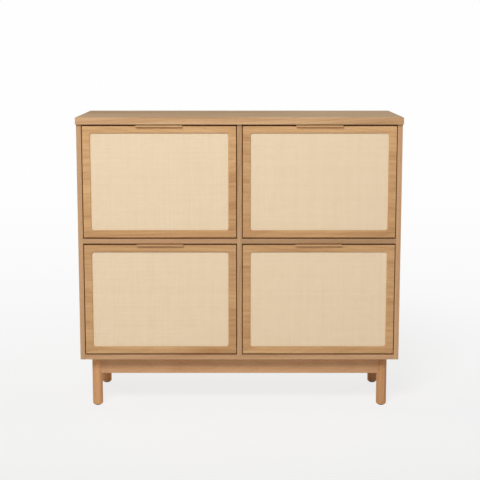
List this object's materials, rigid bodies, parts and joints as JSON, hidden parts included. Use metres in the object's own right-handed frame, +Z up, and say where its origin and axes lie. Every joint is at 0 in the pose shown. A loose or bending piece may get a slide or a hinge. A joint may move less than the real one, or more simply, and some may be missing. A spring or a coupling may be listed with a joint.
{
  "type": "shoe cabinet",
  "caption": "Oak-veneered shoe cabinet on round legs, with inset tilt-out doors of woven cane, each carrying a shoe rack behind a slim lip pull.",
  "frame": {"origin": "middle of the footprint, on the floor under the foot glides", "axes": "+X to the right as one faces the doors, +Y to the back, +Z up"},
  "size_m": [1, 0.35, 0.92],
  "materials": {
    "oak_veneer": "satin lacquered oak veneer",
    "solid_oak": "satin lacquered oak",
    "woven_cane": "natural woven cane",
    "fibreboard": "plain sealed fibreboard",
    "hardboard": "foil-faced hardboard",
    "zinc_steel": "bright zinc plate",
    "nylon": "moulded nylon"
  },
  "bodies": {
    "cabinet": {"top_panel": "oak_veneer", "left_side": "oak_veneer", "right_side": "oak_veneer", "bottom_panel": "oak_veneer", "centre_divider": "oak_veneer", "left_shelf": "oak_veneer", "right_shelf": "oak_veneer", "back_panel": "hardboard", "front_rail": "solid_oak", "back_rail": "solid_oak", "left_rail": "solid_oak", "right_rail": "solid_oak", "front_left_leg": "solid_oak", "front_right_leg": "solid_oak", "back_left_leg": "solid_oak", "back_right_leg": "solid_oak", "leg_bolts": "zinc_steel", "foot_glides": "nylon", "pivot_pins": "nylon", "stop_pins": "zinc_steel", "cam_bolts": "zinc_steel", "cam_locks": "zinc_steel", "wall_brackets": "zinc_steel", "cabinet_screws": "zinc_steel"},
    "upper_left_door": {"upper_left_door_frame": "oak_veneer", "upper_left_cane_panel": "woven_cane", "upper_left_back_board": "fibreboard", "upper_left_pull": "solid_oak", "upper_left_left_cheek": "oak_veneer", "upper_left_right_cheek": "oak_veneer", "upper_left_bottom_tier": "oak_veneer", "upper_left_middle_tier": "oak_veneer", "upper_left_screws": "zinc_steel"},
    "upper_right_door": {"upper_right_door_frame": "oak_veneer", "upper_right_cane_panel": "woven_cane", "upper_right_back_board": "fibreboard", "upper_right_pull": "solid_oak", "upper_right_left_cheek": "oak_veneer", "upper_right_right_cheek": "oak_veneer", "upper_right_bottom_tier": "oak_veneer", "upper_right_middle_tier": "oak_veneer", "upper_right_screws": "zinc_steel"},
    "lower_left_door": {"lower_left_door_frame": "oak_veneer", "lower_left_cane_panel": "woven_cane", "lower_left_back_board": "fibreboard", "lower_left_pull": "solid_oak", "lower_left_left_cheek": "oak_veneer", "lower_left_right_cheek": "oak_veneer", "lower_left_bottom_tier": "oak_veneer", "lower_left_middle_tier": "oak_veneer", "lower_left_screws": "zinc_steel"},
    "lower_right_door": {"lower_right_door_frame": "oak_veneer", "lower_right_cane_panel": "woven_cane", "lower_right_back_board": "fibreboard", "lower_right_pull": "solid_oak", "lower_right_left_cheek": "oak_veneer", "lower_right_right_cheek": "oak_veneer", "lower_right_bottom_tier": "oak_veneer", "lower_right_middle_tier": "oak_veneer", "lower_right_screws": "zinc_steel"}
  },
  "joints": [
    {"name": "upper_left_tilt", "type": "hinge", "parent": "cabinet", "child": "upper_left_door", "pos_m": [-0.24525, -0.159, 0.5585], "axis": [1, 0, 0], "range_deg": [0, 60]},
    {"name": "upper_right_tilt", "type": "hinge", "parent": "cabinet", "child": "upper_right_door", "pos_m": [0.24525, -0.159, 0.5585], "axis": [1, 0, 0], "range_deg": [0, 60]},
    {"name": "lower_left_tilt", "type": "hinge", "parent": "cabinet", "child": "lower_left_door", "pos_m": [-0.24525, -0.159, 0.19], "axis": [1, 0, 0], "range_deg": [0, 60]},
    {"name": "lower_right_tilt", "type": "hinge", "parent": "cabinet", "child": "lower_right_door", "pos_m": [0.24525, -0.159, 0.19], "axis": [1, 0, 0], "range_deg": [0, 60]}
  ]
}
